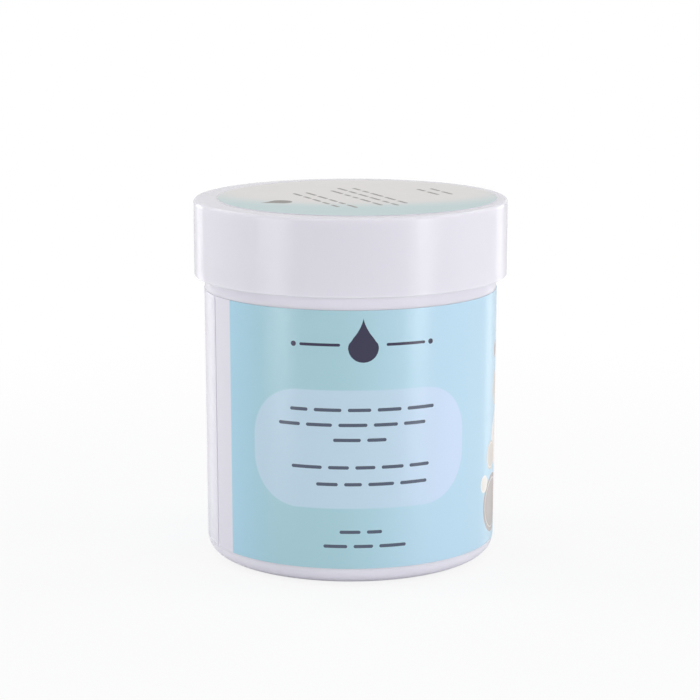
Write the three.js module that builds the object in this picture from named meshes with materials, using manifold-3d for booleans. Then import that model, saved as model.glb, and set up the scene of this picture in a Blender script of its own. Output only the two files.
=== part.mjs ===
// A round wide-mouth jar with a screw lid, filled with a stack of soaked cosmetic pads.
// Millimetres, +Z up. The origin is the centre of the standing ring, and the front faces -Y.
import * as THREE from "three";
import { mergeVertices } from "three/addons/utils/BufferGeometryUtils.js";
import Module from "manifold-3d";

const wasm = await Module();
wasm.setup();

// Lid
const lidDiameter = 66;
const lidHeight = 15.9;
const lidWall = 2.1;
const lidTopThickness = 1.8;
const lidEdgeRadius = 0.7;
const lidHemRadius = 0.15;
const lidShoulderGap = 0.3;

// Foam wad under the lid's top, and the bead that keeps it there
const linerThickness = 1.0;
const linerClearance = 0.3;
const beadDepth = 0.7;
const beadGap = 0.3;

// Sticker on the lid, a little off centre as it was put on
const stickerDiameter = 58.8;
const stickerThickness = 0.1;
const stickerShift = 1.4;

// Jar
const bodyHeight = 59.8;
const lidOverhang = 2.2;
const bodyTaper = 0.3;
const bodyWall = 1.8;
const floorThickness = 1.8;
const baseEdgeHeight = 3.5;
const baseEdgeWidth = 4.6;
const footRingWidth = 3;
const footRecess = 0.8;
const shoulderRadius = 0.3;
const shoulderThickness = 2.4;
const innerFloorRadius = 2.4;
const neckWall = 1.8;
const rimRadius = 0.4;

// Thread: right-hand, on the neck's outside and the lid's inside
const threadStarts = 2;
const threadLead = 9;
const threadDepth = 1.2;
const threadRootWidth = 1.6;
const threadCrestWidth = 0.8;
const threadRadialClearance = 0.7;
const threadFlankClearance = 0.35;
const threadRimMargin = 2.6;
const threadShoulderMargin = 2.35;
const lidThreadMargin = 1.2;
const threadSink = 0.5;
const threadFadeAngle = 24;

// Wrap label: angles run from the front towards the jar's right-hand side as seen from there
const labelThickness = 0.1;
const labelClearance = 0.03;
const labelTopMargin = 2.6;
const labelLowMargin = 0.3;
const labelSeamGap = 0.6;
const labelSeamAngle = -65;

// Pads
const padThickness = 1.9;
const padGap = 0.1;
const padClearance = 0.8;
const padEdge = 0.7;
const padHeadspace = 10.2;

// Fineness of the round surfaces
const roundSegments = 48;
const padSegments = 20;
const arcDivisions = 2;

// Sizes that follow from the ones above
const lidRadius = lidDiameter / 2;
const lidBore = lidRadius - lidWall;
const lidBottom = bodyHeight + lidShoulderGap;
const lidTop = lidBottom + lidHeight;
const lidCeiling = lidTop - lidTopThickness;
const rimHeight = lidCeiling - linerThickness;
const neckRadius = lidBore - threadDepth - threadRadialClearance;
const neckBore = neckRadius - neckWall;
const bodyTopRadius = lidRadius - lidOverhang;
const bodyLowRadius = bodyTopRadius - bodyTaper;
const floorHeight = footRecess + floorThickness;
const padRadius = neckBore - padClearance;
const padPitch = padThickness + padGap;
const padCount = Math.floor((rimHeight - padHeadspace - floorHeight - padGap) / padPitch);

// Outer radius of the slightly tapered wall at a height
function bodyRadiusAt(height) {
  const share = (height - baseEdgeHeight) / (bodyHeight - baseEdgeHeight);
  return bodyLowRadius + (bodyTopRadius - bodyLowRadius) * share;
}

// A profile of radius and height, turned round the Z axis
function turned(profile, segments) {
  const geometry = new THREE.LatheGeometry(profile.getPoints(arcDivisions), segments);
  geometry.rotateX(Math.PI / 2);
  return geometry;
}

function solidOf(geometry) {
  const bare = new THREE.BufferGeometry();
  bare.setAttribute("position", geometry.getAttribute("position"));
  bare.setIndex(geometry.index);
  const merged = mergeVertices(bare, 1e-4);
  const mesh = new wasm.Mesh({
    numProp: 3,
    vertProperties: merged.getAttribute("position").array,
    triVerts: Uint32Array.from(merged.index.array),
  });
  return new wasm.Manifold(mesh);
}

function geometryOf(solid) {
  const mesh = solid.getMesh();
  const geometry = new THREE.BufferGeometry();
  geometry.setAttribute("position", new THREE.BufferAttribute(mesh.vertProperties, 3));
  geometry.setIndex(new THREE.BufferAttribute(mesh.triVerts, 1));
  geometry.computeVertexNormals();
  return geometry;
}

// One thread ridge: a trapezium bar wound on a helix, which fades into the wall at both ends.
// side is 1 on an outside wall and -1 on an inside wall.
function threadRidge(wallRadius, side, startAngle, sweep, startHeight) {
  const section = new THREE.Shape();
  section.moveTo(-threadRootWidth / 2, -threadSink);
  section.lineTo(threadRootWidth / 2, -threadSink);
  section.lineTo(threadRootWidth / 2, 0);
  section.lineTo(threadCrestWidth / 2, threadDepth);
  section.lineTo(-threadCrestWidth / 2, threadDepth);
  section.lineTo(-threadRootWidth / 2, 0);
  const steps = Math.ceil((sweep / 360) * roundSegments);
  const bar = new THREE.ExtrudeGeometry(section, { depth: 1, steps, bevelEnabled: false });
  const points = bar.getAttribute("position");
  for (let i = 0; i < points.count; i += 1) {
    const along = points.getZ(i);
    const fromEnd = Math.min(along, 1 - along) * sweep;
    const fade = THREE.MathUtils.smoothstep(fromEnd, 0, threadFadeAngle);
    const rise = points.getY(i) > 0 ? points.getY(i) * fade : points.getY(i);
    const radius = wallRadius + side * rise;
    const angle = THREE.MathUtils.degToRad(startAngle + along * sweep);
    const height = startHeight + side * points.getX(i) + (threadLead * along * sweep) / 360;
    points.setXYZ(i, radius * Math.sin(angle), -radius * Math.cos(angle), height);
  }
  return solidOf(bar);
}

// All starts of a thread joined to the piece that carries it
function withThread(piece, wallRadius, side, firstAngle, sweep, startHeight) {
  let joined = piece;
  for (let start = 0; start < threadStarts; start += 1) {
    const angle = firstAngle + (start * 360) / threadStarts;
    joined = joined.add(threadRidge(wallRadius, side, angle, sweep, startHeight));
  }
  return joined;
}

// The neck's ridges run from above the shoulder to below the rim. The lid's ridges lie just under them,
// where they pull when the lid is tight.
const neckThreadLow = bodyHeight + threadShoulderMargin + threadRootWidth / 2;
const neckThreadHigh = rimHeight - threadRimMargin - threadRootWidth / 2;
const neckThreadSweep = ((neckThreadHigh - neckThreadLow) / threadLead) * 360;
const flankSlope = (threadRootWidth - threadCrestWidth) / 2 / threadDepth;
const flankMeeting = (threadRootWidth + threadCrestWidth) / 2 - flankSlope * threadRadialClearance;
const lidThreadDrop = flankMeeting + threadFlankClearance;
const lidThreadLow = lidBottom + lidThreadMargin + threadRootWidth / 2;
const lidThreadDelay = ((lidThreadLow - neckThreadLow + lidThreadDrop) / threadLead) * 360;

function jarBody() {
  const footInner = bodyLowRadius - baseEdgeWidth - footRingWidth;
  const boreEnd = bodyHeight - shoulderThickness;
  const shoulderRun = bodyRadiusAt(boreEnd) - bodyWall - neckBore;
  const innerTop = boreEnd - shoulderRun;
  const innerLow = floorHeight + innerFloorRadius;
  const profile = new THREE.Path();
  profile.moveTo(0, footRecess);
  profile.lineTo(footInner - footRecess, footRecess);
  profile.lineTo(footInner, 0);
  profile.lineTo(bodyLowRadius - baseEdgeWidth, 0);
  profile.absellipse(
    bodyLowRadius - baseEdgeWidth,
    baseEdgeHeight,
    baseEdgeWidth,
    baseEdgeHeight,
    -Math.PI / 2,
    0,
    false,
  );
  profile.lineTo(bodyRadiusAt(bodyHeight - shoulderRadius), bodyHeight - shoulderRadius);
  profile.absarc(
    bodyRadiusAt(bodyHeight - shoulderRadius) - shoulderRadius,
    bodyHeight - shoulderRadius,
    shoulderRadius,
    0,
    Math.PI / 2,
    false,
  );
  profile.lineTo(neckRadius, bodyHeight);
  profile.lineTo(neckRadius, rimHeight - rimRadius);
  profile.absarc(neckRadius - rimRadius, rimHeight - rimRadius, rimRadius, 0, Math.PI / 2, false);
  profile.lineTo(neckBore + rimRadius, rimHeight);
  profile.absarc(neckBore + rimRadius, rimHeight - rimRadius, rimRadius, Math.PI / 2, Math.PI, false);
  profile.lineTo(neckBore, boreEnd);
  profile.lineTo(bodyRadiusAt(innerTop) - bodyWall, innerTop);
  profile.lineTo(bodyRadiusAt(innerLow) - bodyWall, innerLow);
  profile.absarc(
    bodyRadiusAt(innerLow) - bodyWall - innerFloorRadius,
    innerLow,
    innerFloorRadius,
    0,
    -Math.PI / 2,
    true,
  );
  profile.lineTo(0, floorHeight);
  const shell = solidOf(turned(profile, roundSegments));
  return geometryOf(withThread(shell, neckRadius, 1, 0, neckThreadSweep, neckThreadLow));
}

function wrapLabel() {
  const low = baseEdgeHeight + labelLowMargin;
  const high = bodyHeight - labelTopMargin;
  const lowRadius = bodyRadiusAt(low) + labelClearance;
  const highRadius = bodyRadiusAt(high) + labelClearance;
  const profile = new THREE.Path();
  profile.moveTo(lowRadius, low);
  profile.lineTo(lowRadius + labelThickness, low);
  profile.lineTo(highRadius + labelThickness, high);
  profile.lineTo(highRadius, high);
  profile.lineTo(lowRadius, low);
  const ring = solidOf(turned(profile, roundSegments));
  const seam = new THREE.BoxGeometry(labelSeamGap, bodyTopRadius, 2 * bodyHeight);
  seam.translate(0, -bodyTopRadius, 0);
  seam.rotateZ(THREE.MathUtils.degToRad(labelSeamAngle));
  return geometryOf(ring.subtract(solidOf(seam)));
}

function lidShell() {
  const beadTop = rimHeight - beadGap;
  const profile = new THREE.Path();
  profile.moveTo(0, lidCeiling);
  profile.lineTo(lidBore, lidCeiling);
  profile.lineTo(lidBore, beadTop);
  profile.lineTo(lidBore - beadDepth, beadTop - beadDepth);
  profile.lineTo(lidBore, beadTop - 2 * beadDepth);
  profile.lineTo(lidBore, lidBottom);
  profile.lineTo(lidRadius - lidHemRadius, lidBottom);
  profile.absarc(lidRadius - lidHemRadius, lidBottom + lidHemRadius, lidHemRadius, -Math.PI / 2, 0, false);
  profile.lineTo(lidRadius, lidTop - lidEdgeRadius);
  profile.absarc(lidRadius - lidEdgeRadius, lidTop - lidEdgeRadius, lidEdgeRadius, 0, Math.PI / 2, false);
  profile.lineTo(0, lidTop);
  const shell = solidOf(turned(profile, roundSegments));
  const sweep = neckThreadSweep - lidThreadDelay;
  return geometryOf(withThread(shell, lidBore, -1, lidThreadDelay, sweep, lidThreadLow));
}

// A plain disc that stands on the given height
function disc(radius, thickness, height) {
  const profile = new THREE.Path();
  profile.moveTo(0, height);
  profile.lineTo(radius, height);
  profile.lineTo(radius, height + thickness);
  profile.lineTo(0, height + thickness);
  return turned(profile, roundSegments);
}

// A pad is thickest over its middle and pinched to a blunt rim
function pad(height) {
  const profile = new THREE.Path();
  profile.moveTo(0, height);
  profile.lineTo(padRadius - padEdge, height);
  profile.lineTo(padRadius, height + padThickness / 2);
  profile.lineTo(padRadius - padEdge, height + padThickness);
  profile.lineTo(0, height + padThickness);
  return turned(profile, padSegments);
}

const finishes = {
  jarWhite: { color: 0xe6e4ec, roughness: 0.25, metalness: 0 },
  lidWhite: { color: 0xe4e2ea, roughness: 0.22, metalness: 0 },
  labelAqua: { color: 0xa9d3df, roughness: 0.3, metalness: 0 },
  stickerAqua: { color: 0xb6d6dc, roughness: 0.3, metalness: 0 },
  foamWhite: { color: 0xf2f2ef, roughness: 0.8, metalness: 0 },
  padWhite: { color: 0xf4f3ee, roughness: 0.95, metalness: 0 },
};

const jar = new THREE.Group();

function addPiece(name, geometry, finish) {
  const mesh = new THREE.Mesh(geometry, new THREE.MeshStandardMaterial(finish));
  mesh.name = name;
  jar.add(mesh);
  return mesh;
}

addPiece("jar_body", jarBody(), finishes.jarWhite);
addPiece("wrap_label", wrapLabel(), finishes.labelAqua);
addPiece("lid_shell", lidShell(), finishes.lidWhite);
addPiece("lid_liner", disc(lidBore - linerClearance, linerThickness, rimHeight), finishes.foamWhite);
const sticker = addPiece(
  "lid_label",
  disc(stickerDiameter / 2, stickerThickness, lidTop),
  finishes.stickerAqua,
);
sticker.position.x = stickerShift;
for (let i = 0; i < padCount; i += 1) {
  const number = String(i + 1).padStart(2, "0");
  addPiece("pad_" + number, pad(floorHeight + padGap + i * padPitch), finishes.padWhite);
}

export default jar;
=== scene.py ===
"""Dresses a packed screw-lid jar of soaked pads: glossy mouldings, printed films, a foam seal, soft pads
and a plain studio stage."""
import math

import bmesh
import bpy
from bpy.props import FloatProperty, FloatVectorProperty, IntProperty, PointerProperty
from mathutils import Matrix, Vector, noise


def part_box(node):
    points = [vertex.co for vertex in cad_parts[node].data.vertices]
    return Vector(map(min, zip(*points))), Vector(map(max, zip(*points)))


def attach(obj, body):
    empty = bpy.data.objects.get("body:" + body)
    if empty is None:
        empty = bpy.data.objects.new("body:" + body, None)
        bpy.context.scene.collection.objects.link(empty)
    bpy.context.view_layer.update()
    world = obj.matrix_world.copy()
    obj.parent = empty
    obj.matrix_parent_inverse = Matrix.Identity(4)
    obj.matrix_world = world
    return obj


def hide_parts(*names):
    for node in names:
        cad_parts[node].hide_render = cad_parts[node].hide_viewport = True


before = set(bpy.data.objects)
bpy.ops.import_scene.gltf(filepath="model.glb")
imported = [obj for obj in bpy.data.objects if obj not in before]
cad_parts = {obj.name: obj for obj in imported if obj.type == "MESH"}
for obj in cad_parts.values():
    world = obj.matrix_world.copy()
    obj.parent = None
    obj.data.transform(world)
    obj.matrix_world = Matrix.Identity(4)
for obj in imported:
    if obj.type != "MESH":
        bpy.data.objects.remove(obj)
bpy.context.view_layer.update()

bl_info = {
    "name": "Pad jar",
    "version": (1, 0, 0),
    "blender": (4, 5, 0),
    "location": "View3D > Sidebar > Pad jar",
    "description": "Finished pieces of a screw-lid jar of pads, built round its packed frame",
    "category": "Object",
}

MM = 0.001
PER_MM = 1000.0

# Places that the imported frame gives, in metres
_, JAR_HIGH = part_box("jar_body")
LID_LOW, LID_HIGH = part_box("lid_shell")
LINER_LOW, LINER_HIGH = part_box("lid_liner")
LABEL_LOW, LABEL_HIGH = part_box("wrap_label")
STICKER_LOW, STICKER_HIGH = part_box("lid_label")
STICKER_CENTRE = (STICKER_LOW + STICKER_HIGH) / 2
STICKER_RADIUS = (STICKER_HIGH.x - STICKER_LOW.x) / 2
PAD_NODES = sorted(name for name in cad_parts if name.startswith("pad_"))

# Fineness of the meshes
ROUND_STEPS = 256
FILM_STEPS = 300
FILM_RING = 2 * MM
THREAD_RING = 0.16 * MM
ARC_STEPS = 7
BASE_EDGE_STEPS = 24
HOLD = 0.12 * MM
SHARP_ANGLE = math.radians(38)
MERGE = 1e-7
ON_WALL = 1e-6

# Small forms: the gate mark under the base, which is a share of the foot's recess high, the ring pressed
# into the seal, and roundings
GATE_RADIUS, GATE_SLOPE, GATE_ROUND, GATE_SHARE = 1.6 * MM, 0.3 * MM, 0.15 * MM, 0.45
RECESS_ROUND, FOOT_ROUND = 0.5 * MM, 0.3 * MM
BORE_ROUND, WIDENING_ROUND = 1.0 * MM, 1.5 * MM
CEILING_ROUND, BEAD_ROUND = 0.2 * MM, 0.25 * MM
SEAL_PRESSED, SEAL_EASE = 0.12 * MM, 0.4 * MM
SEAL_ROUND, SEAL_LOW_ROUND = 0.2 * MM, 0.3 * MM
STICKER_ROUND = 0.04 * MM


def linear(red, green, blue):
    """A colour written as it shows on screen, 0 to 255, as the shader's linear values."""
    def channel(value):
        share = value / 255
        return share / 12.92 if share <= 0.04045 else ((share + 0.055) / 1.055) ** 2.4
    return (channel(red), channel(green), channel(blue))


def length(name, description, millimetres):
    """A setting for a length, written in millimetres and kept in metres."""
    return FloatProperty(
        name=name, description=description, default=millimetres * MM, unit="LENGTH", subtype="DISTANCE"
    )


def tint(name, description, red, green, blue):
    """A setting for a colour, written as it shows on screen."""
    return FloatVectorProperty(
        name=name, description=description, default=linear(red, green, blue), size=3, subtype="COLOR"
    )


def portion(name, description, default):
    """A setting from 0 to 1."""
    return FloatProperty(
        name=name, description=description, default=default, min=0.0, max=1.0, subtype="FACTOR"
    )


class JarSizes(bpy.types.PropertyGroup):
    """Finish of the jar, and the sizes that its packed box doesn't give"""

    shoulder: length("Shoulder height", "Height of the shoulder that the lid closes over", 59.8)
    taper: length("Wall taper", "How much the wall narrows from the shoulder to the base edge", 0.3)
    wall: length("Wall", "Thickness of the side wall", 1.8)
    floor: length("Floor height", "Height of the floor inside", 2.6)
    floor_round: length("Floor rounding", "Radius between the floor and the wall inside", 2.4)
    base_edge_height: length("Base edge height", "Height of the rounded edge above the foot", 3.5)
    base_edge_width: length("Base edge width", "Width of the rounded edge beside the foot", 4.6)
    foot_width: length("Foot width", "Width of the flat ring that the jar stands on", 3.0)
    foot_recess: length("Foot recess", "Depth of the hollow inside the foot ring", 0.8)
    neck_radius: length("Neck radius", "Outside radius of the neck between the threads", 29.0)
    bore: length("Mouth radius", "Inside radius of the neck", 27.2)
    bore_end: length("Bore end", "Height where the neck's bore starts to widen", 57.4)
    shoulder_round: length("Shoulder rounding", "Radius of the shoulder's outer edge", 0.08)
    rim_round: length("Rim rounding", "Radius of the rim's edges", 0.4)
    white: tint("White", "Colour of the jar", 228, 226, 235)
    roughness: portion("Roughness", "Roughness of the jar's gloss", 0.28)
    glow: length("Glow", "How far light spreads inside the jar's wall", 1.2)


class LidSizes(bpy.types.PropertyGroup):
    """Finish of the lid, and the sizes that its packed box doesn't give"""

    bore: length("Lid bore", "Inside radius of the skirt", 30.9)
    edge_round: length("Top edge rounding", "Radius of the lid's upper edge", 0.7)
    hem_round: length("Hem rounding", "Radius of the skirt's lower edge", 0.15)
    bead: length("Bead depth", "How far the bead that keeps the seal stands in", 0.7)
    bead_gap: length("Bead gap", "Gap between the seal and the bead", 0.3)
    white: tint("White", "Colour of the lid", 227, 225, 233)
    roughness: portion("Roughness", "Roughness of the lid's gloss", 0.15)
    glow: length("Glow", "How far light spreads inside the lid's wall", 1.0)


class ThreadSizes(bpy.types.PropertyGroup):
    """The two-start right-hand thread"""

    starts: IntProperty(name="Starts", description="Ridges that run side by side", default=2)
    lead: length("Lead", "Rise in one turn", 9.0)
    depth: length("Depth", "Height of a ridge over its wall", 1.2)
    root: length("Root width", "Width of a ridge at its foot", 1.6)
    crest: length("Crest width", "Width of a ridge at its top", 0.8)
    fade: FloatProperty(name="Fade", description="Run of a ridge's end, in degrees", default=24.0)
    neck_start: length("Neck start", "Height of the lower end of the neck's ridges", 62.95)
    neck_end: length("Neck end", "Height of the upper end of the neck's ridges", 69.8)
    lid_start: length("Lid start", "Height of the lower end of the lid's ridges", 62.1)
    lid_drop: length("Lid drop", "How far the lid's ridges lie under the neck's", 1.317)


class PrintSizes(bpy.types.PropertyGroup):
    """The printed films"""

    seam: FloatProperty(
        name="Seam", description="Angle of the label's seam from the front, degrees", default=-65.0
    )
    seam_gap: length("Seam gap", "Bare gap between the label's two ends", 0.34)
    film: length("Film", "Thickness of the label with its glue", 0.125)
    aqua_left: tint("Aqua, left", "Print colour at the left of the front", 165, 207, 226)
    aqua_middle: tint("Aqua, middle", "Print colour at the middle of the front", 164, 203, 214)
    aqua_right: tint("Sky, right", "Print colour at the right of the front", 183, 215, 234)
    panel: tint("Panel", "Pale panel on the label", 187, 212, 229)
    panel_right: tint("Panel, right", "Pale panel at its right end", 201, 219, 243)
    bare: tint("Bare film", "Unprinted film", 222, 220, 230)
    ink: tint("Ink", "Dark ink of the drop and its rules", 38, 34, 66)
    words: tint("Line ink", "Ink of the plain lines", 74, 84, 104)
    cream: tint("Cream", "Pale discs", 238, 230, 219)
    beige: tint("Beige", "Middle discs", 212, 198, 185)
    taupe: tint("Taupe", "Dark discs", 172, 156, 147)
    gleam: tint("Gleam", "Thin ring inside each disc", 246, 245, 243)
    # The sticker's pale middle is a painted reflection of the bright backdrop, an oval towards the back;
    # the aqua is its print
    sticker_painted_reflection: tint("Sticker middle", "Pale middle of the lid's sticker", 225, 222, 220)
    sticker_aqua: tint("Sticker sweep", "Aqua sweep at the front of the lid's sticker", 192, 212, 214)
    sticker_words: tint("Sticker lines", "Ink of the plain lines on the sticker", 126, 122, 118)


class PadSizes(bpy.types.PropertyGroup):
    """The soft pads"""

    fineness: IntProperty(name="Fineness", description="Subdivisions of each pad", default=6)
    dimple_pitch: length("Dimple pitch", "Spacing of the pressed dimples", 4.6)
    dimple_depth: length("Dimple depth", "Depth of the pressed dimples", 0.5)
    dimple_radius: length("Dimple radius", "Radius of the pressed dimples", 0.8)
    ring_depth: length("Ring depth", "Depth of the pressed ring inside the rim", 0.4)
    fibre: tint("Fibre", "Colour of the pads", 243, 241, 234)


class StageSizes(bpy.types.PropertyGroup):
    """Camera and floor"""

    distance: length("Distance", "Camera to axis", 510.0)
    height: length("Height", "Camera over the floor", 141.85)
    aside: length("Aside", "Camera beside the axis", -0.12)
    pitch: FloatProperty(
        name="Pitch", description="Camera's downward tilt", default=math.radians(10.94), subtype="ANGLE"
    )
    lens: FloatProperty(name="Lens", description="Focal length in millimetres", default=125.5)
    floor_tint: tint("Floor", "Colour of the plain floor", 240, 240, 241)


class PadJar(bpy.types.PropertyGroup):
    """All settings of the jar"""

    jar: PointerProperty(type=JarSizes)
    lid: PointerProperty(type=LidSizes)
    thread: PointerProperty(type=ThreadSizes)
    print: PointerProperty(type=PrintSizes)
    pads: PointerProperty(type=PadSizes)
    stage: PointerProperty(type=StageSizes)


# Outlines are lists of (radius, height) points, turned round the Z axis

def arc(centre, radii, first, last, steps=ARC_STEPS):
    """Points of a round stretch of an outline, between two angles in degrees."""
    angles = [math.radians(first + (last - first) * i / steps) for i in range(steps + 1)]
    return [(centre[0] + radii[0] * math.cos(a), centre[1] + radii[1] * math.sin(a)) for a in angles]


def rounded(corners):
    """An outline through corners (radius, height, rounding).

    A rounding becomes an arc with a holding point before and after it.
    """
    points = []
    for i, (radius, height, rounding) in enumerate(corners):
        here = Vector((radius, height))
        if not rounding:
            points.append(here.to_tuple())
            continue
        before = (Vector(corners[i - 1][:2]) - here).normalized()
        after = (Vector(corners[i + 1][:2]) - here).normalized()
        half = before.angle(after) / 2
        reach = rounding / math.tan(half)
        centre = here + (before + after).normalized() * (rounding / math.sin(half))
        start = here + before * reach - centre
        turn = (here + after * reach - centre).angle_signed(start)
        points.append((here + before * (reach + HOLD)).to_tuple())
        first = math.degrees(math.atan2(start.y, start.x))
        points += arc(centre, (rounding, rounding), first, first + math.degrees(turn))
        points.append((here + after * (reach + HOLD)).to_tuple())
    return points


def rings(start, end, step):
    """Evenly spaced points of a straight stretch, without its ends."""
    count = max(1, round((Vector(end) - Vector(start)).length / step))
    return [Vector(start).lerp(Vector(end), i / count).to_tuple() for i in range(1, count)]


def turned(outline, steps=ROUND_STEPS, start=0.0, sweep=math.tau):
    """A mesh turned from an outline. The angle 0 is the front, and angles run towards +X from there."""
    mesh = bmesh.new()
    aim = Vector((math.sin(start), -math.cos(start), 0))
    corners = [mesh.verts.new(aim * radius + Vector((0, 0, height))) for radius, height in outline]
    edges = [mesh.edges.new(pair) for pair in zip(corners, corners[1:])]
    whole = sweep == math.tau
    bmesh.ops.spin(
        mesh, geom=corners + edges, cent=(0, 0, 0), axis=(0, 0, 1), angle=sweep, steps=steps,
        use_merge=whole,
    )
    bmesh.ops.remove_doubles(mesh, verts=mesh.verts, dist=MERGE)
    return mesh


def finished(mesh, name, body, slot, material, *nodes):
    """Makes a mesh the finished piece that stands for CAD nodes and rides on their body."""
    bmesh.ops.recalc_face_normals(mesh, faces=mesh.faces)
    data = bpy.data.meshes.new(name)
    mesh.to_mesh(data)
    mesh.free()
    data.shade_smooth()
    data.set_sharp_from_angle(angle=SHARP_ANGLE)
    data.materials.append(material)
    piece = bpy.data.objects.new(name, data)
    bpy.context.scene.collection.objects.link(piece)
    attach(piece, body)
    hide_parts(*nodes)
    return piece


def smooth(value, low, high):
    """Smooth step from 0 at low to 1 at high."""
    share = min(1.0, max(0.0, (value - low) / (high - low)))
    return share * share * (3 - 2 * share)


def cut_thread(mesh, thread, wall, side, first_angle, low, high):
    """Raises the ridges of a thread from a wall by moving its rings of points in or out."""
    sweep = (high - low) / thread.lead * 360
    for point in mesh.verts:
        radius = math.hypot(point.co.x, point.co.y)
        if abs(radius - wall) > ON_WALL:
            continue
        angle = math.degrees(math.atan2(point.co.x, -point.co.y))
        for start in range(thread.starts):
            along = (angle - first_angle - start * 360 / thread.starts) % 360
            if along > sweep:
                continue
            off = abs(point.co.z - low - thread.lead * along / 360)
            ridge = 1 - smooth(off, thread.crest / 2, thread.root / 2)
            rise = thread.depth * ridge * smooth(min(along, sweep - along), 0, thread.fade)
            grown = (radius + side * rise) / radius
            point.co.x *= grown
            point.co.y *= grown
            break


class Nodes:
    """A node tree, emptied. An input of a node takes a value or another node's socket."""

    def __init__(self, tree):
        self.tree = tree
        self.tree.nodes.clear()

    def feed(self, socket, value):
        if isinstance(value, bpy.types.NodeSocket):
            self.tree.links.new(value, socket)
        elif socket.type == "RGBA" and len(value) == 3:
            socket.default_value = (*value, 1.0)
        else:
            socket.default_value = value

    def node(self, kind, inputs=None, **settings):
        made = self.tree.nodes.new(kind)
        for key, value in settings.items():
            setattr(made, key, value)
        for key, value in (inputs or {}).items():
            self.feed(made.inputs[key], value)
        return made

    def math(self, operation, *values):
        return self.node("ShaderNodeMath", dict(enumerate(values)), operation=operation).outputs[0]

    def vector(self, operation, *values, **named):
        """Vector maths. A length comes out as a value, and the rest as vectors."""
        inputs = {**dict(enumerate(values)), **named}
        made = self.node("ShaderNodeVectorMath", inputs, operation=operation)
        return made.outputs["Value" if operation == "LENGTH" else "Vector"]

    def between(self, value, low, high):
        """A socket from 0 to 1 spread over low to high."""
        inputs = {"Value": value, "To Min": low, "To Max": high}
        return self.node("ShaderNodeMapRange", inputs).outputs["Result"]


# Softness of printed edges, the ring in each disc, and the dashes of the plain lines. Lengths are in
# millimetres, and the ring's place is a share of its disc's radius.
EDGE_SOFT, DISC_SOFT = 0.02, 0.2
RING_PLACE, RING_HALF = 0.82, 0.14
ROW_MARGIN, DASH_SHIFT, DASH_UNEVEN = 0.25, 7.31, 0.7
# Half width of the drop along its height, from the tip
DROP_OUTLINE = [
    (0.12, 0.1), (0.3, 0.36), (0.5, 0.77), (0.655, 1.0),
    (0.75, 0.965), (0.85, 0.83), (0.92, 0.64), (0.97, 0.41),
]


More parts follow.
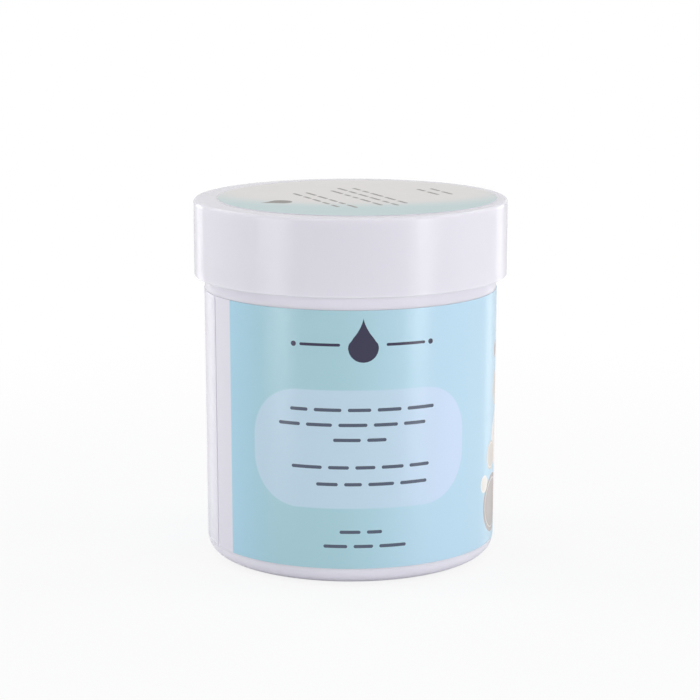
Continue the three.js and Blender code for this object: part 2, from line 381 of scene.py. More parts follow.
class Recipe(Nodes):
    """One node material round a Principled shader."""

    def __init__(self, name):
        self.material = bpy.data.materials.new(name)
        self.material.use_nodes = True
        super().__init__(self.material.node_tree)
        self.shader = self.node("ShaderNodeBsdfPrincipled")
        self.end = self.node("ShaderNodeOutputMaterial", {"Surface": self.shader.outputs["BSDF"]})

    def set(self, **inputs):
        """Sets the shader's own inputs, with spaces of their names written as underscores."""
        for key, value in inputs.items():
            self.feed(self.shader.inputs[key.replace("_", " ")], value)

    def place(self):
        """Object coordinates in millimetres."""
        return self.vector("SCALE", self.node("ShaderNodeTexCoord").outputs["Object"], Scale=PER_MM)

    def step(self, value, low, high):
        """Smooth step of a socket from 0 at low to 1 at high."""
        inputs = {"Value": value, "From Min": low, "From Max": high}
        return self.node("ShaderNodeMapRange", inputs, interpolation_type="SMOOTHSTEP").outputs["Result"]

    def mix(self, share, base, top):
        """Two colours mixed. The node's colour sockets are 6, 7 and output 2."""
        return self.node("ShaderNodeMix", {0: share, 6: base, 7: top}, data_type="RGBA").outputs[2]

    def noise(self, place, size, detail):
        """Cloudy noise whose patches are about this many millimetres across."""
        inputs = {"Vector": place, "Scale": 1 / size, "Detail": detail}
        return self.node("ShaderNodeTexNoise", inputs).outputs["Fac"]

    def waves(self, place, rows):
        """Layers for bumps from rows of a noise's size and detail and a depth in millimetres."""
        return [(self.noise(place, size, detail), depth) for size, detail, depth in rows]

    def bumps(self, *layers):
        """Bump from (height socket, depth in millimetres) layers, laid over each other."""
        normal = None
        for height, depth in layers:
            inputs = {"Height": height, "Distance": depth * MM, "Strength": 1.0}
            made = self.node("ShaderNodeBump", inputs)
            if normal is not None:
                self.feed(made.inputs["Normal"], normal)
            normal = made.outputs["Normal"]
        self.set(Normal=normal)

    # Shapes on a film: x and y are sockets in millimetres, and each shape gives a mask from 0 to 1

    def distance(self, across, up):
        joined = self.node("ShaderNodeCombineXYZ", {"X": across, "Y": up}).outputs["Vector"]
        return self.vector("LENGTH", joined)

    def reach(self, x, y, centre):
        """Distance of each point from a centre."""
        return self.distance(self.math("SUBTRACT", x, centre[0]), self.math("SUBTRACT", y, centre[1]))

    def spot(self, x, y, centre, radius):
        return self.math("LESS_THAN", self.reach(x, y, centre), radius)

    def disc(self, x, y, centre, radius):
        """A round disc with a slightly soft edge, and the thin ring inside its rim."""
        share = self.math("DIVIDE", self.reach(x, y, centre), radius)
        whole = self.step(share, 1.0, 1.0 - DISC_SOFT / radius)
        return whole, self.math("COMPARE", share, RING_PLACE, RING_HALF / radius)

    def box(self, x, y, centre, half, corner, soft=EDGE_SOFT):
        """A box with round corners and an edge of some softness."""
        parts = []
        for value, middle, reach in ((x, centre[0], half[0]), (y, centre[1], half[1])):
            off = self.math("ABSOLUTE", self.math("SUBTRACT", value, middle))
            parts.append(self.math("MAXIMUM", self.math("SUBTRACT", off, reach - corner), 0.0))
        return self.step(self.distance(*parts), corner + soft, corner - soft)

    def lines(self, x, y, block):
        """Plain lines, each a row of round-ended dashes of uneven length about the block's middle."""
        down = self.math("DIVIDE", self.math("SUBTRACT", block["top"], y), block["pitch"])
        row = self.math("FLOOR", down)
        in_rows = self.math("COMPARE", row, (block["count"] - 1) / 2, block["count"] / 2 - ROW_MARGIN)
        seed = self.math("ADD", row, block["seed"])
        luck = self.node("ShaderNodeTexWhiteNoise", {"W": seed}, noise_dimensions="1D").outputs["Value"]
        half = self.math("MULTIPLY", self.between(luck, 1.0 - block["ragged"], 1.0), block["half"])
        shift = self.math("MULTIPLY", seed, DASH_SHIFT)
        cell = self.math("MULTIPLY_ADD", x, 1 / block["word"], shift)
        cells = {"W": cell, "Scale": 1.0, "Randomness": DASH_UNEVEN}
        nearest = self.node("ShaderNodeTexVoronoi", cells, voronoi_dimensions="1D", feature="F1")
        edge = self.node("ShaderNodeTexVoronoi", cells, voronoi_dimensions="1D", feature="DISTANCE_TO_EDGE")
        middle = self.math("MULTIPLY", self.math("SUBTRACT", nearest.outputs["W"], shift), block["word"])
        in_width = self.math("COMPARE", middle, block["middle"], half)
        round_end = block["weight"] / 2
        left_over = round_end + block["space"] / 2
        past_end = self.math("MULTIPLY_ADD", edge.outputs["Distance"], -block["word"], left_over)
        off_line = self.math("MULTIPLY_ADD", self.math("FRACT", down), block["pitch"], -block["pitch"] / 2)
        reach = self.distance(self.math("MAXIMUM", past_end, 0.0), off_line)
        in_dash = self.math("LESS_THAN", reach, round_end)
        return self.math("MULTIPLY", self.math("MULTIPLY", in_rows, in_width), in_dash)

    def drop(self, x, y, tip, size):
        """A drop of some width and height that hangs from its tip."""
        width, height = size
        share = self.math("DIVIDE", self.math("SUBTRACT", tip[1], y), height)
        curve = self.node("ShaderNodeFloatCurve", {"Value": share})
        line = curve.mapping.curves[0]
        line.points[0].location = (0.0, 0.0)
        line.points[1].location = (1.0, 0.0)
        for along, out in DROP_OUTLINE:
            line.points.new(along, out)
        curve.mapping.update()
        half = self.math("MULTIPLY", curve.outputs["Value"], width / 2)
        aside = self.math("ABSOLUTE", self.math("SUBTRACT", x, tip[0]))
        under_tip = self.math("GREATER_THAN", share, 0.0)
        over_foot = self.math("LESS_THAN", share, 1.0)
        inside = self.math("MULTIPLY", under_tip, over_foot)
        return self.math("MULTIPLY", inside, self.math("LESS_THAN", aside, half))


# Finish of the white mouldings. Noises have a size in millimetres and a detail, and waves a depth as well.
CLOUDS, CLOUD_SHADE = (14.0, 2.0), 0.97
DUST, DUST_LEVELS, DUST_COVER, DUST_COLOUR = (0.5, 1.0), (0.745, 0.77), 0.05, (0.36, 0.35, 0.36)
RUBBED, RUBBED_LESS, RUBBED_MORE = (5.0, 4.0), 0.03, 0.05
WHITE_WAVES = [(20.0, 1.0, 0.07), (1.1, 2.0, 0.0015)]
WHITE_IOR, LIGHT_SPREAD, SPREAD_COLOUR = 1.49, 0.8, (1.0, 1.0, 1.0)


def moulded_white(name, sizes):
    """Glossy white moulding with faint clouds, fine dust, rubbed patches and a slight orange peel."""
    paint = Recipe(name)
    place = paint.place()
    tone = paint.mix(paint.noise(place, *CLOUDS), [c * CLOUD_SHADE for c in sizes.white], sizes.white)
    dust = paint.step(paint.noise(place, *DUST), *DUST_LEVELS)
    tone = paint.mix(paint.math("MULTIPLY", dust, DUST_COVER), tone, DUST_COLOUR)
    rubbed = paint.noise(place, *RUBBED)
    roughness = paint.between(rubbed, sizes.roughness - RUBBED_LESS, sizes.roughness + RUBBED_MORE)
    paint.bumps(*paint.waves(place, WHITE_WAVES))
    paint.set(Base_Color=tone, Roughness=roughness, IOR=WHITE_IOR)
    paint.set(Subsurface_Weight=LIGHT_SPREAD, Subsurface_Radius=SPREAD_COLOUR, Subsurface_Scale=sizes.glow)
    return paint.material


# Finish of the printed films, written as for the mouldings
GRAIN_LEVELS = (0.985, 1.015)
GLOSS_PATCHES = (6.0, 3.0)
LABEL_FINISH = {
    "grain": (0.3, 2.0), "roughness": (0.2, 0.27), "ior": 1.62,
    "waves": [(16.0, 1.0, 0.05), (0.8, 2.0, 0.002)],
}
STICKER_FINISH = {
    "grain": (2.6, 3.0), "roughness": (0.3, 0.42), "ior": 1.5,
    "waves": [(18.0, 1.0, 0.04), (2.4, 1.0, 0.001)],
}


def film_finish(paint, place, wash, finish):
    """Gives a printed film its fine grain, uneven gloss and slight waves."""
    grain = paint.between(paint.noise(place, *finish["grain"]), *GRAIN_LEVELS)
    tone = paint.vector("SCALE", wash, Scale=grain)
    roughness = paint.between(paint.noise(place, *GLOSS_PATCHES), *finish["roughness"])
    paint.bumps(*paint.waves(place, finish["waves"]))
    paint.set(Base_Color=tone, Roughness=roughness, IOR=finish["ior"])
    return paint.material


# Print on the wrap label, millimetres along the film from the front and up from the standing ring
FILM_MAP = "film"
BARE_START, BARE_END = -28.7, 145.0
# Where each colour comes in over the one before it
WASHES = [(-30.0, -12.0, "aqua_middle"), (-5.0, 21.0, "aqua_right"), (70.0, 110.0, "aqua_left")]
PANELS = [((2.35, 28.65), (23.7, 12.25), 10.4), ((95.0, 30.6), (20.5, 22.0), 5.0)]
PANEL_SHIFT, PANEL_SOFT = (4.0, 24.0), 0.2
EMBLEM, EMBLEM_SIZE = (2.6, 55.6), (6.2, 9.0)
RULE_CENTRE, RULE_HALF, RULE_HEIGHT = 8.9, (4.2, 0.3), 50.2
DOT_CENTRE, DOT_RADIUS = 14.4, 0.55
# Height, middle and half length of each line on the front
FRONT_LINES = [
    (36.85, 1.9, 16.4), (33.75, 1.9, 17.0), (30.65, 2.2, 6.4), (24.95, 3.4, 16.0), (21.45, 2.6, 13.6),
    (11.5, 2.2, 5.6), (8.5, 2.2, 7.4),
]
FRONT_LINE = {"pitch": 2.4, "count": 1, "ragged": 0.0, "weight": 0.7, "word": 6.2, "space": 1.3}
FRONT_SEED = 3
BACK_LINE = {"pitch": 1.9, "ragged": 0.14, "weight": 0.52, "word": 4.0, "space": 0.9}
BACK_BLOCKS = [
    {"top": 50.2, "count": 8, "middle": 95.0, "half": 16.5, "seed": 60.0},
    {"top": 32.8, "count": 10, "middle": 95.0, "half": 16.5, "seed": 80.0},
    {"top": 47.0, "count": 6, "middle": 129.5, "half": 8.6, "seed": 110.0},
    {"top": 30.0, "count": 7, "middle": 129.5, "half": 8.6, "seed": 130.0},
]
# Discs up the right-hand side, the later ones over the earlier: along, up, radius and colour
DISCS = [
    (52.0, 14.5, 8.8, "beige"), (41.5, 11.8, 6.4, "taupe"), (60.5, 24.0, 6.2, "cream"),
    (47.0, 25.0, 6.6, "cream"), (40.0, 22.4, 3.2, "beige"), (55.5, 34.0, 5.2, "taupe"),
    (44.8, 36.2, 4.0, "beige"), (63.0, 13.0, 3.6, "taupe"), (51.0, 43.2, 3.2, "cream"),
    (60.8, 42.0, 2.6, "beige"), (43.6, 44.6, 2.0, "taupe"), (56.4, 49.0, 1.8, "cream"),
    (35.6, 17.0, 2.0, "cream"),
]
DISC_COVER, RING_COVER = 0.86, 0.4


def film_place(paint, settings):
    """Where a point of the wrap label lies, in millimetres: along the film from the front, and up."""
    film = paint.node("ShaderNodeUVMap", uv_map=FILM_MAP).outputs["UV"]
    split = paint.node("ShaderNodeSeparateXYZ", {0: film})
    around = math.tau * LABEL_HIGH.x * PER_MM
    seam = settings.seam / 360 * around
    along = paint.math("MULTIPLY_ADD", split.outputs["X"], around, seam)
    low, high = LABEL_LOW.z * PER_MM, LABEL_HIGH.z * PER_MM
    return along, paint.math("MULTIPLY_ADD", split.outputs["Y"], high - low, low)


def printed_label(settings):
    """Semi-gloss printed film: an aqua wash with pale panels, a plain drop, plain lines and round discs."""
    paint = Recipe("printed_label")
    along, up = film_place(paint, settings)
    wash = settings.aqua_left
    for start, end, colour in WASHES:
        wash = paint.mix(paint.step(along, start, end), wash, getattr(settings, colour))
    for x, y, radius, colour in DISCS:
        whole, ring = paint.disc(along, up, (x, y), radius)
        wash = paint.mix(paint.math("MULTIPLY", whole, DISC_COVER), wash, getattr(settings, colour))
        wash = paint.mix(paint.math("MULTIPLY", ring, RING_COVER), wash, settings.gleam)
    pale = paint.mix(paint.step(along, *PANEL_SHIFT), settings.panel, settings.panel_right)
    for centre, half, corner in PANELS:
        wash = paint.mix(paint.box(along, up, centre, half, corner, PANEL_SOFT), wash, pale)
    for seed, (height, middle, half) in enumerate(FRONT_LINES, FRONT_SEED):
        top = height + FRONT_LINE["pitch"] / 2
        block = {**FRONT_LINE, "top": top, "middle": middle, "half": half, "seed": seed}
        wash = paint.mix(paint.lines(along, up, block), wash, settings.words)
    for block in BACK_BLOCKS:
        wash = paint.mix(paint.lines(along, up, {**BACK_LINE, **block}), wash, settings.words)
    wash = paint.mix(paint.drop(along, up, EMBLEM, EMBLEM_SIZE), wash, settings.ink)
    for side in (-1, 1):
        rule = (EMBLEM[0] + side * RULE_CENTRE, RULE_HEIGHT)
        wash = paint.mix(paint.box(along, up, rule, RULE_HALF, RULE_HALF[1]), wash, settings.ink)
        dot = (EMBLEM[0] + side * DOT_CENTRE, RULE_HEIGHT)
        wash = paint.mix(paint.spot(along, up, dot, DOT_RADIUS), wash, settings.ink)
    middle = (BARE_START + BARE_END) / 2
    printed = paint.math("COMPARE", along, middle, BARE_END - middle)
    wash = paint.mix(printed, settings.bare, wash)
    return film_finish(paint, paint.place(), wash, LABEL_FINISH)


# Print on the lid's sticker, millimetres from its centre. The lines read from the lid's left-hand side.
STICKER_TURN = math.radians(-114)
# The painted reflection of the bright backdrop is a pale oval towards the back, and the aqua print shows
# from between these shares of its radii
REFLECTION_CENTRE, REFLECTION_RADII, REFLECTION_FADE = (0.0, 10.0, 0.0), (34.0, 24.0), (0.7, 1.2)
STICKER_DROP, STICKER_DROP_SIZE = (-1.0, 22.6), (5.0, 7.2)
STICKER_LINE = {"pitch": 3.0, "ragged": 0.3, "weight": 0.8, "word": 5.6, "space": 1.2}
STICKER_BLOCKS = [
    {"top": 11.6, "count": 2, "middle": -1.0, "half": 15.0, "seed": 160.0},
    {"top": 2.4, "count": 3, "middle": -1.0, "half": 16.0, "seed": 170.0},
    {"top": -15.6, "count": 2, "middle": 0.0, "half": 8.0, "seed": 182.0},
]
# How far inside the cut edge the print starts to end, and has ended
CUT_START, CUT_END = 0.07, 0.02


def printed_sticker(settings):
    """The lid's printed film: aqua print under a painted reflection, a pale oval towards the back, with
    plain lines and a plain drop.
    """
    paint = Recipe("printed_sticker")
    place = paint.place()
    moved = paint.vector("ADD", place, [-c * PER_MM for c in STICKER_CENTRE])
    turn = {"Vector": moved, "Angle": STICKER_TURN}
    art = paint.node("ShaderNodeVectorRotate", turn, rotation_type="Z_AXIS").outputs["Vector"]
    split = paint.node("ShaderNodeSeparateXYZ", {0: art})
    x, y = split.outputs["X"], split.outputs["Y"]
    # Painted reflection: a pale oval towards the back of the sticker, fading into the aqua print at the
    # front
    squeeze = [1 / radius for radius in REFLECTION_RADII] + [0.0]
    shrunk = paint.vector("MULTIPLY", paint.vector("SUBTRACT", moved, REFLECTION_CENTRE), squeeze)
    sweep = paint.step(paint.vector("LENGTH", shrunk), *REFLECTION_FADE)
    wash = paint.mix(sweep, settings.sticker_painted_reflection, settings.sticker_aqua)
    for block in STICKER_BLOCKS:
        wash = paint.mix(paint.lines(x, y, {**STICKER_LINE, **block}), wash, settings.sticker_words)
    drop = paint.drop(x, y, STICKER_DROP, STICKER_DROP_SIZE)
    wash = paint.mix(drop, wash, settings.sticker_words)
    radius = STICKER_RADIUS * PER_MM
    cut_edge = paint.step(paint.reach(x, y, (0.0, 0.0)), radius - CUT_START, radius - CUT_END)
    wash = paint.mix(cut_edge, wash, settings.bare)
    return film_finish(paint, place, wash, STICKER_FINISH)


# Finish of the foam seal: cells in a millimetre, how far into a cell its pit shows, and depths as above
FOAM_SKIN, FOAM_PIT = linear(246, 246, 243), linear(228, 229, 228)
CELLS, PIT_LEVELS, PIT_DEPTH = 2.2, (0.1, 0.75), 0.07
FOAM_WAVES = [(5.0, 2.0, 0.06)]
WAXY, WAXY_ROUGHNESS, FOAM_IOR = (3.0, 2.0), (0.5, 0.7), 1.45


def seal_foam():
    """White closed-cell foam: fine cells that show as pits, with a waxy skin."""
    paint = Recipe("seal_foam")
    place = paint.place()
    inputs = {"Vector": place, "Scale": CELLS}
    cells = paint.node("ShaderNodeTexVoronoi", inputs, feature="F1").outputs["Distance"]
    tone = paint.mix(paint.step(cells, *PIT_LEVELS), FOAM_SKIN, FOAM_PIT)
    roughness = paint.between(paint.noise(place, *WAXY), *WAXY_ROUGHNESS)
    paint.bumps((cells, PIT_DEPTH), *paint.waves(place, FOAM_WAVES))
    paint.set(Base_Color=tone, Roughness=roughness, IOR=FOAM_IOR)
    return paint.material


# Attribute of the pads: how far each point is pressed in, 0 to 1
PRESSED = "pressed"
# Finish of the pads: how the strands drift and stretch, their shades, the painted shade where they are
# pressed in, and noises and depths as above
DRIFT_SCALE, DRIFT_DETAIL, DRIFT = 0.22, 2.0, 9.0
STRAND_WAYS = [(0.35, 3.2, 1.0), (3.2, 0.35, 1.0)]
STRAND, STRAND_LEVELS, STRAND_SHADE, STRAND_DEPTH = (0.9, 5.0), (0.42, 0.68), 0.86, 0.07
PAINTED_PRESS_SHADE, PAINTED_PRESS_COVER = 0.7, 0.6
FIBRE_WAVES = [(0.5, 4.0, 0.03)]
DAMP, DAMP_ROUGHNESS, FIBRE_SHEEN = (7.0, 3.0), (0.62, 0.9), 0.25


def pad_fibre(settings):
    """Damp pressed fibre: matted strands in two directions, with painted shade where it is pressed in."""
    paint = Recipe("pad_fibre")
    place = paint.place()
    inputs = {"Vector": place, "Scale": DRIFT_SCALE, "Detail": DRIFT_DETAIL}
    bent = paint.node("ShaderNodeTexNoise", inputs).outputs["Color"]
    wavy = paint.vector("ADD", place, paint.vector("SCALE", bent, Scale=DRIFT))
    ways = [paint.noise(paint.vector("MULTIPLY", wavy, way), *STRAND) for way in STRAND_WAYS]
    strands = paint.math("MAXIMUM", *ways)
    shade = [c * STRAND_SHADE for c in settings.fibre]
    tone = paint.mix(paint.step(strands, *STRAND_LEVELS), shade, settings.fibre)
    pressed = paint.node("ShaderNodeAttribute", attribute_name=PRESSED).outputs["Fac"]
    # Painted shade: the pressed dimples and ring are darkened
    pressed_painted_shade = [c * PAINTED_PRESS_SHADE for c in settings.fibre]
    tone = paint.mix(paint.math("MULTIPLY", pressed, PAINTED_PRESS_COVER), tone, pressed_painted_shade)
    roughness = paint.between(paint.noise(place, *DAMP), *DAMP_ROUGHNESS)
    paint.bumps((strands, STRAND_DEPTH), *paint.waves(place, FIBRE_WAVES))
    paint.set(Base_Color=tone, Roughness=roughness, Sheen_Weight=FIBRE_SHEEN)
    return paint.material


# The floor: gloss, and how far from the jar, in millimetres, its shadow fades into plain white
FLOOR_ROUGHNESS, FLOOR_IOR = 0.14, 2.0
SHADOW_FADE, LEAST_WHITE = (60.0, 260.0), 0.84


def studio_floor(settings):
    """Plain pale floor that keeps a soft shadow under the jar."""
    paint = Recipe("studio_floor")
    paint.set(Base_Color=settings.floor_tint, Roughness=FLOOR_ROUGHNESS, IOR=FLOOR_IOR)
    plain = paint.node("ShaderNodeBsdfDiffuse", {"Color": settings.floor_tint}).outputs[0]
    white = paint.node("ShaderNodeEmission", {"Color": (1.0, 1.0, 1.0), "Strength": 1.0}).outputs[0]
    away = paint.step(paint.vector("LENGTH", paint.place()), *SHADOW_FADE)
    share = paint.between(away, LEAST_WHITE, 1.0)
    shown = paint.node("ShaderNodeMixShader", {0: share, 1: plain, 2: white}).outputs[0]
    seen = paint.node("ShaderNodeLightPath").outputs["Is Camera Ray"]
    glossy = paint.shader.outputs["BSDF"]
    both = paint.node("ShaderNodeMixShader", {0: seen, 1: glossy, 2: shown}).outputs[0]
    paint.feed(paint.end.inputs["Surface"], both)
    return paint.material


class PADJAR_OT_jar_body(bpy.types.Operator):
    """Build the moulded jar with its threaded neck and recessed foot"""

    bl_idname = "padjar.jar_body"
    bl_label = "Jar body"

    def execute(self, context):
        sizes, thread = context.scene.pad_jar.jar, context.scene.pad_jar.thread
        top_radius, rim = JAR_HIGH.x, JAR_HIGH.z
        low_radius = top_radius - sizes.taper

        def outer(height):
            """Radius of the tapered wall at a height."""
            share = (height - sizes.base_edge_height) / (sizes.shoulder - sizes.base_edge_height)
            return low_radius + sizes.taper * share

        foot = low_radius - sizes.base_edge_width
        hollow = foot - sizes.foot_width
        gate_height = sizes.foot_recess * GATE_SHARE
        widening = outer(sizes.bore_end) - sizes.wall - sizes.bore
        inner_top = sizes.bore_end - widening
        underside = rounded([
            (0, gate_height, 0),
            (GATE_RADIUS, gate_height, GATE_ROUND),
            (GATE_RADIUS + GATE_SLOPE, sizes.foot_recess, GATE_ROUND),
            (hollow - sizes.foot_recess, sizes.foot_recess, RECESS_ROUND),
            (hollow, 0, FOOT_ROUND),
            (foot, 0, 0),
        ])
        edge_radii = (sizes.base_edge_width, sizes.base_edge_height)
        edge = arc((foot, sizes.base_edge_height), edge_radii, -90, 0, BASE_EDGE_STEPS)[1:]
        neck_foot = (sizes.neck_radius, sizes.shoulder)
        neck_head = (sizes.neck_radius, rim - sizes.rim_round - HOLD)
        shoulder = rounded([
            (*edge[-1], 0),
            (outer(sizes.shoulder), sizes.shoulder, sizes.shoulder_round),
            (*neck_foot, 0),
        ])[1:]
        rim_and_inside = rounded([
            (*neck_foot, 0),
            (sizes.neck_radius, rim, sizes.rim_round),
            (sizes.bore, rim, sizes.rim_round),
            (sizes.bore, sizes.bore_end, BORE_ROUND),
            (outer(inner_top) - sizes.wall, inner_top, WIDENING_ROUND),
            (outer(sizes.floor) - sizes.wall, sizes.floor, sizes.floor_round),
            (0, sizes.floor, 0),
        ])[1:]
        neck = rings(neck_foot, neck_head, THREAD_RING)
        mesh = turned(underside + edge + shoulder + neck + rim_and_inside)
        cut_thread(mesh, thread, sizes.neck_radius, 1, 0.0, thread.neck_start, thread.neck_end)
        white = moulded_white("jar_moulding", sizes)
        finished(mesh, "jar_moulding", "jar", "jar_white", white, "jar_body")
        return {"FINISHED"}


class PADJAR_OT_wrap_label(bpy.types.Operator):
    """Build the printed film wound round the jar"""

    bl_idname = "padjar.wrap_label"
    bl_label = "Wrap label"

    def execute(self, context):
        settings, jar = context.scene.pad_jar.print, context.scene.pad_jar.jar
        outside, low, high = LABEL_HIGH.x, LABEL_LOW.z, LABEL_HIGH.z
        taper = jar.taper * (high - low) / (jar.shoulder - jar.base_edge_height)
        inside = outside - settings.film
        seam = math.radians(settings.seam)
        half_gap = settings.seam_gap / 2 / outside
        edges = (inside - taper, low), (inside, high)
        outline = [edges[0], *rings(*edges, FILM_RING), edges[1]]
        mesh = turned(outline, FILM_STEPS, seam + half_gap, math.tau - 2 * half_gap)
        bmesh.ops.recalc_face_normals(mesh, faces=mesh.faces)
        if sum(face.normal.dot(face.calc_center_median()) for face in mesh.faces) < 0:
            bmesh.ops.reverse_faces(mesh, faces=mesh.faces)
        bmesh.ops.solidify(mesh, geom=mesh.faces, thickness=-settings.film)
        layer = mesh.loops.layers.uv.new(FILM_MAP)
        for face in mesh.faces:
            for corner in face.loops:
                point = corner.vert.co
                angle = (math.atan2(point.x, -point.y) - seam) % math.tau
                corner[layer].uv = (angle / math.tau, (point.z - low) / (high - low))
        finished(mesh, "wrap_film", "jar", "label_film", printed_label(settings), "wrap_label")
        return {"FINISHED"}


class PADJAR_OT_lid_shell(bpy.types.Operator):
    """Build the moulded screw lid"""

    bl_idname = "padjar.lid_shell"
    bl_label = "Lid shell"

    def execute(self, context):
        sizes, thread = context.scene.pad_jar.lid, context.scene.pad_jar.thread
        radius, low, high = LID_HIGH.x, LID_LOW.z, LID_HIGH.z
        ceiling = LINER_HIGH.z
        bead_top = LINER_LOW.z - sizes.bead_gap
        bore_top = (sizes.bore, bead_top - 2 * sizes.bead)
        bore_low = (sizes.bore, low + sizes.hem_round + HOLD)
        inside = rounded([
            (0, ceiling, 0),
            (sizes.bore, ceiling, CEILING_ROUND),
            (sizes.bore, bead_top, 0),
            (sizes.bore - sizes.bead, bead_top - sizes.bead, BEAD_ROUND),
            (*bore_top, 0),
        ])
        outside = rounded([
            (*bore_top, 0),
            (sizes.bore, low, sizes.hem_round),
            (radius, low, sizes.hem_round),
            (radius, high, sizes.edge_round),
            (0, high, 0),
        ])[1:]
        mesh = turned(inside + rings(bore_top, bore_low, THREAD_RING) + outside)
        delay = (thread.lid_start - thread.neck_start + thread.lid_drop) / thread.lead * 360
        lid_end = thread.neck_end - thread.lid_drop
        cut_thread(mesh, thread, sizes.bore, -1, delay, thread.lid_start, lid_end)
        white = moulded_white("lid_moulding", sizes)
        finished(mesh, "lid_moulding", "lid", "lid_white", white, "lid_shell")
        return {"FINISHED"}


class PADJAR_OT_lid_liner(bpy.types.Operator):
    """Build the foam seal with the ring that the rim has pressed into it"""

    bl_idname = "padjar.lid_liner"
    bl_label = "Lid seal"

    def execute(self, context):
        jar = context.scene.pad_jar.jar
        radius, low, high = LINER_HIGH.x, LINER_LOW.z, LINER_HIGH.z
        mesh = turned(rounded([
            (0, low, 0),
            (jar.bore - SEAL_EASE, low, SEAL_ROUND),
            (jar.bore, low + SEAL_PRESSED, SEAL_ROUND),
            (jar.neck_radius, low + SEAL_PRESSED, SEAL_ROUND),
            (jar.neck_radius + SEAL_EASE, low, SEAL_ROUND),
            (radius, low, SEAL_LOW_ROUND),
            (radius, high, SEAL_ROUND),
            (0, high, 0),
        ]))
        finished(mesh, "seal_disc", "liner", "seal_foam", seal_foam(), "lid_liner")
        return {"FINISHED"}


class PADJAR_OT_lid_label(bpy.types.Operator):
    """Build the round printed sticker on the lid"""

    bl_idname = "padjar.lid_label"
    bl_label = "Lid sticker"

    def execute(self, context):
        radius, low, high = STICKER_RADIUS, STICKER_LOW.z, STICKER_HIGH.z
        mesh = turned(rounded([(0, low, 0), (radius, low, 0), (radius, high, STICKER_ROUND), (0, high, 0)]))
        bmesh.ops.translate(mesh, verts=mesh.verts, vec=(STICKER_CENTRE.x, STICKER_CENTRE.y, 0))
        film = printed_sticker(context.scene.pad_jar.print)
        finished(mesh, "lid_sticker", "lid", "sticker_film", film, "lid_label")
        return {"FINISHED"}


# Form of a pad. The rim wanders and the faces swell by shares of its radius and half thickness, each pad
# with its own draw. Places run from 0 at the middle to 1 at the rim.
RIM_WANDER, RIM_WAVES, RIM_DRAW = 0.015, 2.2, 3.7
SWELL, SWELLS_PER_METRE, SWELL_DRAW = 0.07, 90, 5.3
CROWN_POWER, THINNEST = 14, 0.08
RIM_RING, RIM_RING_WIDTH = 0.9, 0.025
DIMPLES_FADE = (0.8, 0.86)


class PADJAR_OT_pads(bpy.types.Operator):
    """Build the stack of soft pads, each crowned, pinched at the rim and pressed with dimples"""

    bl_idname = "padjar.pads"
    bl_label = "Pads"

    def dimples(self, x, y, sizes):
        """Depth of the pressed dimples at a point of the pad's face."""
        row_height = sizes.dimple_pitch * math.sqrt(3) / 2
        row = round(y / row_height)
        shift = sizes.dimple_pitch / 2 if row % 2 else 0
        column = round((x - shift) / sizes.dimple_pitch)
        off = math.hypot(x - shift - column * sizes.dimple_pitch, y - row * row_height)
        return sizes.dimple_depth * (1 - smooth(off, 0, sizes.dimple_radius * 2))

    def pad(self, node, number, sizes):
        """A ball pressed into the pad's form, inside the box of its node."""
        low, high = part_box(node)
        radius, half = high.x, (high.z - low.z) / 2
        middle = (high.z + low.z) / 2
        mesh = bmesh.new()
        bmesh.ops.create_icosphere(mesh, subdivisions=sizes.fineness, radius=1)
        pressed = mesh.verts.layers.float.new(PRESSED)
        for point in mesh.verts:
            share = math.sqrt(max(0.0, 1 - abs(point.co.z)))
            spread = math.hypot(point.co.x, point.co.y)
            aim = Vector((point.co.x, point.co.y)) / spread if spread > MERGE else Vector((0, 0))
            wave = noise.noise(Vector((aim.x * RIM_WAVES, aim.y * RIM_WAVES, number * RIM_DRAW)))
            flat = aim * share * radius * (1 - RIM_WANDER + RIM_WANDER * wave)
            crown = (1 - share ** CROWN_POWER) ** 0.5
            spot = flat * SWELLS_PER_METRE
            swell = noise.noise(Vector((spot.x, spot.y, number * SWELL_DRAW + point.co.z)))
            thick = half * crown * (1 - SWELL + SWELL * swell)
            ring = sizes.ring_depth * math.exp(-(((share - RIM_RING) / RIM_RING_WIDTH) ** 2))
            press = ring + self.dimples(flat.x, flat.y, sizes) * (1 - smooth(share, *DIMPLES_FADE))
            thick = max(thick - press * crown, half * THINNEST * crown)
            point[pressed] = min(1.0, press / sizes.dimple_depth)
            point.co = (flat.x, flat.y, middle + math.copysign(thick, point.co.z))
        return mesh

    def execute(self, context):
        sizes = context.scene.pad_jar.pads
        fibre = pad_fibre(sizes)
        for number, node in enumerate(PAD_NODES):
            mesh = self.pad(node, number, sizes)
            piece = finished(mesh, "soft_" + node, "jar", "pad_fibre", fibre, node)
        return {"FINISHED"}


FLOOR_RADIUS, FLOOR_STEPS = 6, 96
SENSOR_WIDTH = 36
# Strength of the world where it lights the jar, and where it is seen or mirrored
WORLD_LIGHT, WORLD_SHOWN = 0.5, 1.0
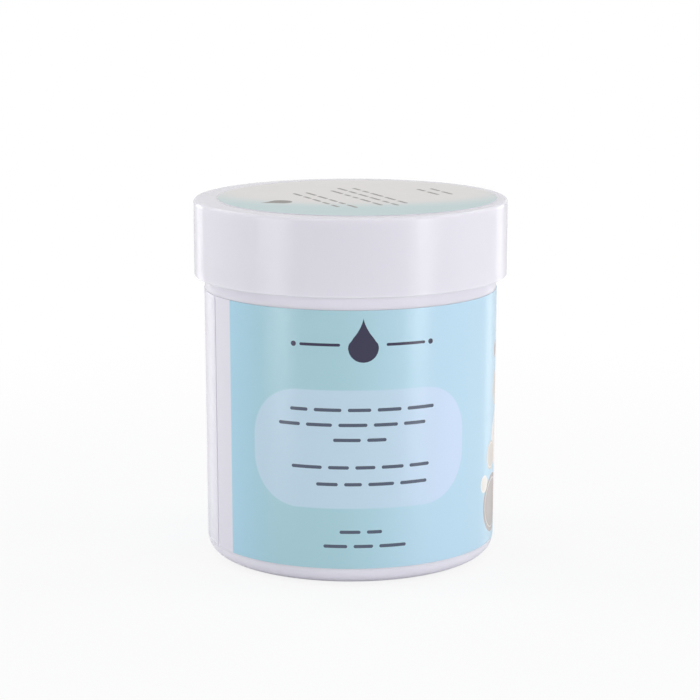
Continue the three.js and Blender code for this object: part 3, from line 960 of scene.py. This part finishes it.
# Soft boxes: angle from the front and height angle in degrees, distance and size in metres, watts, and
# whether gloss mirrors the box
LAMPS = [
    ("left_box", -54.8, -1, 0.7, (0.17, 0.2), 0.27, True),
    ("left_halo", -54.8, -1, 0.71, (0.35, 0.2), 0.48, True),
    ("right_box", 53.0, -1, 0.7, (0.12, 0.2), 0.25, True),
    ("right_halo", 53.0, -1, 0.71, (0.28, 0.2), 0.46, True),
    ("left_strip", -142.5, 5, 0.75, (0.19, 0.22), 0.22, True),
    ("right_strip", 138.5, 5, 0.75, (0.18, 0.22), 0.24, True),
    ("left_rim", -140, 42, 0.75, (0.12, 0.24), 0.27, True),
    ("right_rim", 138, 42, 0.75, (0.12, 0.24), 0.27, True),
    ("top_panel", 0, 90, 0.8, (0.4, 0.4), 1.25, False),
    ("left_high", -95, 36, 0.75, (0.3, 0.3), 1.0, False),
    ("right_high", 95, 36, 0.75, (0.3, 0.3), 1.0, False),
    ("front_panel", 0, 5, 0.8, (0.9, 0.16), 0.67, False),
    ("left_front", -55, 5, 0.8, (0.4, 0.16), 0.5, False),
    ("right_front", 55, 5, 0.8, (0.4, 0.16), 1.68, False),
    ("left_panel", -105, 6, 0.75, (0.5, 0.2), 0.66, False),
]


class PADJAR_OT_stage(bpy.types.Operator):
    """Set the floor, the camera and the soft studio light"""

    bl_idname = "padjar.stage"
    bl_label = "Stage"

    def floor(self, scene, stage):
        mesh = bmesh.new()
        bmesh.ops.create_circle(mesh, cap_ends=True, segments=FLOOR_STEPS, radius=FLOOR_RADIUS)
        data = bpy.data.meshes.new("floor")
        mesh.to_mesh(data)
        mesh.free()
        data.materials.append(studio_floor(stage))
        floor = bpy.data.objects.new("floor", data)
        scene.collection.objects.link(floor)

    def camera(self, scene, stage):
        lens = bpy.data.cameras.new("camera")
        lens.sensor_width = SENSOR_WIDTH
        lens.lens = stage.lens
        camera = bpy.data.objects.new("camera", lens)
        camera.location = (stage.aside, -stage.distance, stage.height)
        camera.rotation_euler = (math.pi / 2 - stage.pitch, 0, 0)
        scene.collection.objects.link(camera)
        scene.camera = camera

    def world(self, scene):
        scene.world = bpy.data.worlds.new("studio")
        scene.world.use_nodes = True
        sky = Nodes(scene.world.node_tree)
        path = sky.node("ShaderNodeLightPath").outputs
        through = sky.math("MAXIMUM", path["Is Camera Ray"], path["Is Transmission Ray"])
        seen = sky.math("MAXIMUM", through, path["Is Glossy Ray"])
        strength = sky.between(seen, WORLD_LIGHT, WORLD_SHOWN)
        glow = sky.node("ShaderNodeBackground", {"Strength": strength})
        sky.node("ShaderNodeOutputWorld", {"Surface": glow.outputs[0]})

    def lamp(self, scene, name, azimuth, elevation, reach, size, power, mirrored):
        """A soft box that faces the jar."""
        data = bpy.data.lights.new(name, "AREA")
        data.shape = "RECTANGLE"
        data.size, data.size_y = size
        data.energy = power
        lamp = bpy.data.objects.new(name, data)
        turn, rise = math.radians(azimuth), math.radians(elevation)
        aim = Vector((math.sin(turn) * math.cos(rise), -math.cos(turn) * math.cos(rise), math.sin(rise)))
        lamp.location = Vector((0, 0, JAR_HIGH.z / 2)) + aim * reach
        lamp.rotation_mode = "QUATERNION"
        lamp.rotation_quaternion = aim.to_track_quat("Z", "Y")
        lamp.visible_camera = False
        lamp.visible_glossy = mirrored
        scene.collection.objects.link(lamp)

    def execute(self, context):
        scene, stage = context.scene, context.scene.pad_jar.stage
        scene.view_settings.view_transform = "Standard"
        self.floor(scene, stage)
        self.camera(scene, stage)
        self.world(scene)
        for row in LAMPS:
            self.lamp(scene, *row)
        return {"FINISHED"}


class PADJAR_PT_panel(bpy.types.Panel):
    """Buttons for every piece of the jar"""

    bl_idname = "PADJAR_PT_panel"
    bl_label = "Pad jar"
    bl_space_type = "VIEW_3D"
    bl_region_type = "UI"
    bl_category = "Pad jar"

    def draw(self, context):
        for operator in OPERATORS:
            self.layout.operator(operator.bl_idname)


OPERATORS = (
    PADJAR_OT_stage,
    PADJAR_OT_jar_body,
    PADJAR_OT_wrap_label,
    PADJAR_OT_lid_shell,
    PADJAR_OT_lid_liner,
    PADJAR_OT_lid_label,
    PADJAR_OT_pads,
)
SETTINGS = (JarSizes, LidSizes, ThreadSizes, PrintSizes, PadSizes, StageSizes, PadJar)


def register():
    for each in SETTINGS + OPERATORS + (PADJAR_PT_panel,):
        bpy.utils.register_class(each)
    bpy.types.Scene.pad_jar = PointerProperty(type=PadJar)


def unregister():
    del bpy.types.Scene.pad_jar
    for each in reversed(SETTINGS + OPERATORS + (PADJAR_PT_panel,)):
        bpy.utils.unregister_class(each)


def main():
    register()
    for operator in OPERATORS:
        group, name = operator.bl_idname.split(".")
        getattr(getattr(bpy.ops, group), name)()


if __name__ == "__main__":
    main()
